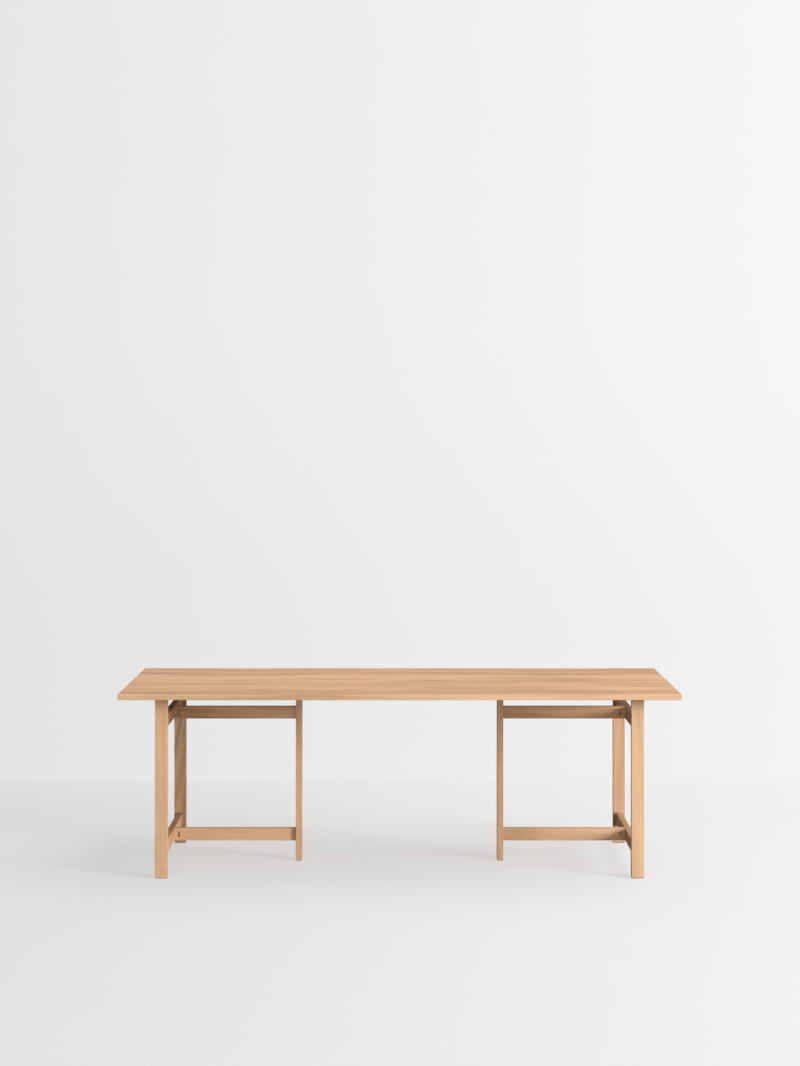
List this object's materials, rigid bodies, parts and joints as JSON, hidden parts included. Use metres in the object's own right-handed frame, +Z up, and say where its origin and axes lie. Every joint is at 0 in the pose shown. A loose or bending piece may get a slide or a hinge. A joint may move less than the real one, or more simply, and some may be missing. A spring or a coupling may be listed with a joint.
{
  "type": "trestle dining table",
  "caption": "Oak dining table: a loose boarded top resting on T-plan trestles of flat legs and rails, whose stem rails are bolted up through half-moon pockets.",
  "frame": {"origin": "on the floor under the centre of the top", "axes": "+X along the table's length to the right as seen from the front, +Y from front to back, +Z up"},
  "size_m": [2.2, 0.9, 0.735],
  "materials": {
    "oak_top": "oiled, satin",
    "oak_trestle": "oiled, satin",
    "zinc_steel": "zinc plated",
    "black_steel": "black oxide",
    "coated_steel": "matt coated",
    "felt": "pressed felt",
    "rubber": "matt"
  },
  "bodies": {
    "left_trestle": {"left_front_foot_glide": "felt", "left_front_leg": "oak_trestle", "left_front_top_pad": "rubber", "left_half_moon_washers": "black_steel", "left_hex_nuts": "zinc_steel", "left_inner_foot_glide": "felt", "left_inner_leg": "oak_trestle", "left_inner_top_pad": "rubber", "left_joint_bolts": "zinc_steel", "left_lower_cross_rail": "oak_trestle", "left_lower_stem_rail": "oak_trestle", "left_rear_foot_glide": "felt", "left_rear_leg": "oak_trestle", "left_rear_top_pad": "rubber", "left_upper_cross_rail": "oak_trestle", "left_upper_stem_rail": "oak_trestle"},
    "right_trestle": {"right_front_foot_glide": "felt", "right_front_leg": "oak_trestle", "right_front_top_pad": "rubber", "right_half_moon_washers": "black_steel", "right_hex_nuts": "zinc_steel", "right_inner_foot_glide": "felt", "right_inner_leg": "oak_trestle", "right_inner_top_pad": "rubber", "right_joint_bolts": "zinc_steel", "right_lower_cross_rail": "oak_trestle", "right_lower_stem_rail": "oak_trestle", "right_rear_foot_glide": "felt", "right_rear_leg": "oak_trestle", "right_rear_top_pad": "rubber", "right_upper_cross_rail": "oak_trestle", "right_upper_stem_rail": "oak_trestle"},
    "table_top": {"left_stiffener": "coated_steel", "middle_stiffener": "coated_steel", "right_stiffener": "coated_steel", "stiffener_screws": "black_steel", "top_board_1": "oak_top", "top_board_2": "oak_top", "top_board_3": "oak_top", "top_board_4": "oak_top", "top_board_5": "oak_top", "top_board_6": "oak_top", "top_board_7": "oak_top"}
  },
  "joints": [
    {"name": "top_lift", "type": "slide", "parent": "left_trestle", "child": "table_top", "axis": [0, 0, 1], "range_m": [0, 0.3]},
    {"name": "right_trestle_slide", "type": "slide", "parent": "left_trestle", "child": "right_trestle", "axis": [1, 0, 0], "range_m": [-0.4, 0.1375]}
  ]
}
